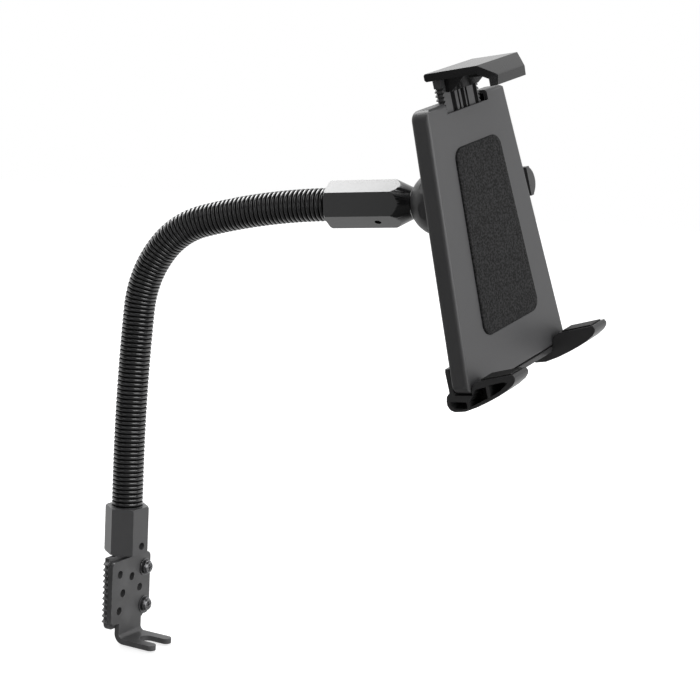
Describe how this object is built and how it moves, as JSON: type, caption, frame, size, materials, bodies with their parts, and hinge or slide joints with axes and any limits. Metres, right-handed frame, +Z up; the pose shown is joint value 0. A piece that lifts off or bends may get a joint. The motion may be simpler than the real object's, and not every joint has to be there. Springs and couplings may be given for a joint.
{
  "type": "seat rail tablet mount",
  "caption": "Tablet holder on a bendable ringed neck, with a slotted foot bracket that clamps under a seat rail bolt, a ball joint and a spring-latched clamp arm.",
  "frame": {"origin": "centre of the seat bolt slot, on the underside of the fork", "axes": "+Z up along the seat bolt, +X out of the open end of the fork, +Y along the width of the bracket"},
  "size_m": [0.3074, 0.1268, 0.3942],
  "materials": {
    "bracket": "black powder coat",
    "ferrule": "black powder coat, satin",
    "zinc": "black zinc",
    "sleeve": "gloss black coating over the rings",
    "core": "plain steel",
    "liner": "grey self-lubricating plastic",
    "collar": "fine grained black",
    "shell": "fine grained dark grey",
    "foam": "open foam with specks",
    "foot": "satin black",
    "grip": "matt black",
    "arm": "satin dark grey",
    "hood": "satin dark grey",
    "spring": "bright"
  },
  "bodies": {
    "foot": {"fork_plate": "bracket", "serrated_plate": "bracket", "plate_screws": "zinc", "plate_washers": "zinc", "lower_ferrule": "ferrule", "lower_set_screw": "zinc", "neck_sleeve": "sleeve", "neck_core": "core"},
    "head": {"upper_ferrule": "ferrule", "upper_set_screw": "zinc", "ball_stud": "zinc"},
    "liner": {"ball_liner": "liner"},
    "collar": {"locking_collar": "collar"},
    "holder": {"socket_boss": "collar", "boss_screws": "zinc", "back_shell": "shell", "front_shell": "shell", "case_screws": "zinc", "foam_pad": "foam", "foot_bar": "foot", "left_foot": "foot", "right_foot": "foot", "foot_pads": "grip", "foot_screws": "zinc", "button_spring": "spring"},
    "arm": {"clamp_arm": "arm", "clamp_hood": "hood", "hood_pad": "grip", "hood_screws": "zinc"},
    "button": {"release_button": "foot", "latch_frame": "liner"}
  },
  "joints": [
    {"name": "neck_bend", "type": "hinge", "parent": "foot", "child": "head", "pos_m": [0.00432, 0.00306, 0.26149], "axis": [-0.1253, 0.9921, 0], "range_deg": [-15, 18], "deforming": ["neck_sleeve", "neck_core"]},
    {"name": "ball_pan", "type": "hinge", "parent": "head", "child": "liner", "pos_m": [0.18579, 0.02599, 0.30544], "axis": [-0.0778, -0.0098, 0.9969], "range_deg": [-2.1, 41.9]},
    {"name": "ball_tilt", "type": "hinge", "parent": "liner", "child": "collar", "pos_m": [0.18579, 0.02599, 0.30544], "axis": [0.2188, 0.9754, 0.0267], "range_deg": [-7.6, 14.4]},
    {"name": "holder_spin", "type": "hinge", "parent": "collar", "child": "holder", "pos_m": [0.18579, 0.02599, 0.30544], "axis": [0.9663, -0.2204, 0.1328], "range_deg": [-90, 90]},
    {"name": "arm_slide", "type": "slide", "parent": "holder", "child": "arm", "axis": [-0.1821, -0.2212, 0.9581], "range_m": [0, 0.055]},
    {"name": "button_press", "type": "slide", "parent": "holder", "child": "button", "axis": [-0.1818, -0.95, -0.2539], "range_m": [0, 0.0025], "stiffness_N_per_m": 400, "springref_m": -0.001, "deforming": ["button_spring"]}
  ]
}
